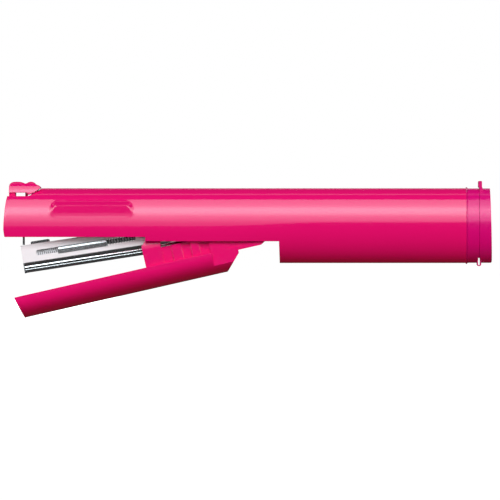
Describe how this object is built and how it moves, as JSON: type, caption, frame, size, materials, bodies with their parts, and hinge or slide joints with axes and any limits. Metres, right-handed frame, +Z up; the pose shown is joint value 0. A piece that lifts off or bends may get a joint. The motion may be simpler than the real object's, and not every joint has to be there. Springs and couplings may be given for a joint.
{
  "type": "stapler",
  "caption": "Slim pen-shaped pocket stapler with a long oval barrel, hinged lever jaw, steel magazine with side slots, thumb latch and a capped staple store.",
  "frame": {"origin": "middle of the length and width, at the lowest point of the open lever", "axes": "+X from the tip to the rear cap, +Z up from the lever to the barrel, +Y across the barrel"},
  "size_m": [0.137, 0.0176, 0.0384],
  "materials": {
    "gloss_magenta": "glossy moulded ABS",
    "satin_magenta": "satin moulded polypropylene",
    "satin_steel": "satin nickel-plated sheet steel",
    "bright_steel": "bright stamped steel",
    "spring_steel": "drawn spring wire and strip",
    "staple_wire": "galvanised flattened wire",
    "zinc_fastener": "bright zinc plate",
    "natural_nylon": "natural nylon"
  },
  "bodies": {
    "barrel": {"body_shell": "gloss_magenta", "driver_blade": "bright_steel", "driver_screws": "zinc_fastener", "pivot_pin": "zinc_fastener", "pivot_bushes": "natural_nylon", "return_spring": "spring_steel", "latch_pin": "zinc_fastener", "rear_collar": "satin_magenta", "hinge_strap": "satin_magenta"},
    "lever": {"lever_shell": "gloss_magenta", "lever_frame": "gloss_magenta", "anvil_plate": "bright_steel", "anvil_rivets": "zinc_fastener", "frame_screws": "zinc_fastener", "magazine_leaf": "spring_steel"},
    "magazine": {"magazine_channel": "satin_steel", "nose_plate": "satin_steel", "magazine_cover": "satin_steel", "core_rail": "satin_steel", "guide_rod": "bright_steel", "staple_strip": "staple_wire", "pusher_spring": "spring_steel"},
    "pusher": {"pusher": "bright_steel"},
    "latch": {"tip_latch": "gloss_magenta"},
    "cap": {"end_cap": "satin_magenta"}
  },
  "joints": [
    {"name": "lever_hinge", "type": "hinge", "parent": "barrel", "child": "lever", "pos_m": [0.0038, 0, 0.02585], "axis": [0, 1, 0], "range_deg": [0, 11.7], "stiffness_Nm_per_rad": 0.08, "springref_deg": -14.32, "deforming": ["magazine_leaf"]},
    {"name": "magazine_hinge", "type": "hinge", "parent": "barrel", "child": "magazine", "pos_m": [0.0038, 0, 0.02585], "axis": [0, 1, 0], "range_deg": [0, 6.7], "deforming": ["magazine_leaf"]},
    {"name": "pusher_slide", "type": "slide", "parent": "magazine", "child": "pusher", "axis": [0.9884, 0, 0.1521], "range_m": [0, 0.008], "stiffness_N_per_m": 60, "springref_m": -0.012, "deforming": ["pusher_spring"]},
    {"name": "latch_hinge", "type": "hinge", "parent": "barrel", "child": "latch", "pos_m": [-0.0598, 0, 0.03405], "axis": [0, -1, 0], "range_deg": [0, 7.5]},
    {"name": "cap_hinge", "type": "hinge", "parent": "barrel", "child": "cap", "pos_m": [0.0648, 0, 0.01505], "axis": [0, 1, 0], "range_deg": [0, 120], "deforming": ["hinge_strap"]}
  ],
  "couplings": [
    {"joint": "magazine_hinge", "follows": "lever_hinge", "ratio": 0.5726}
  ]
}
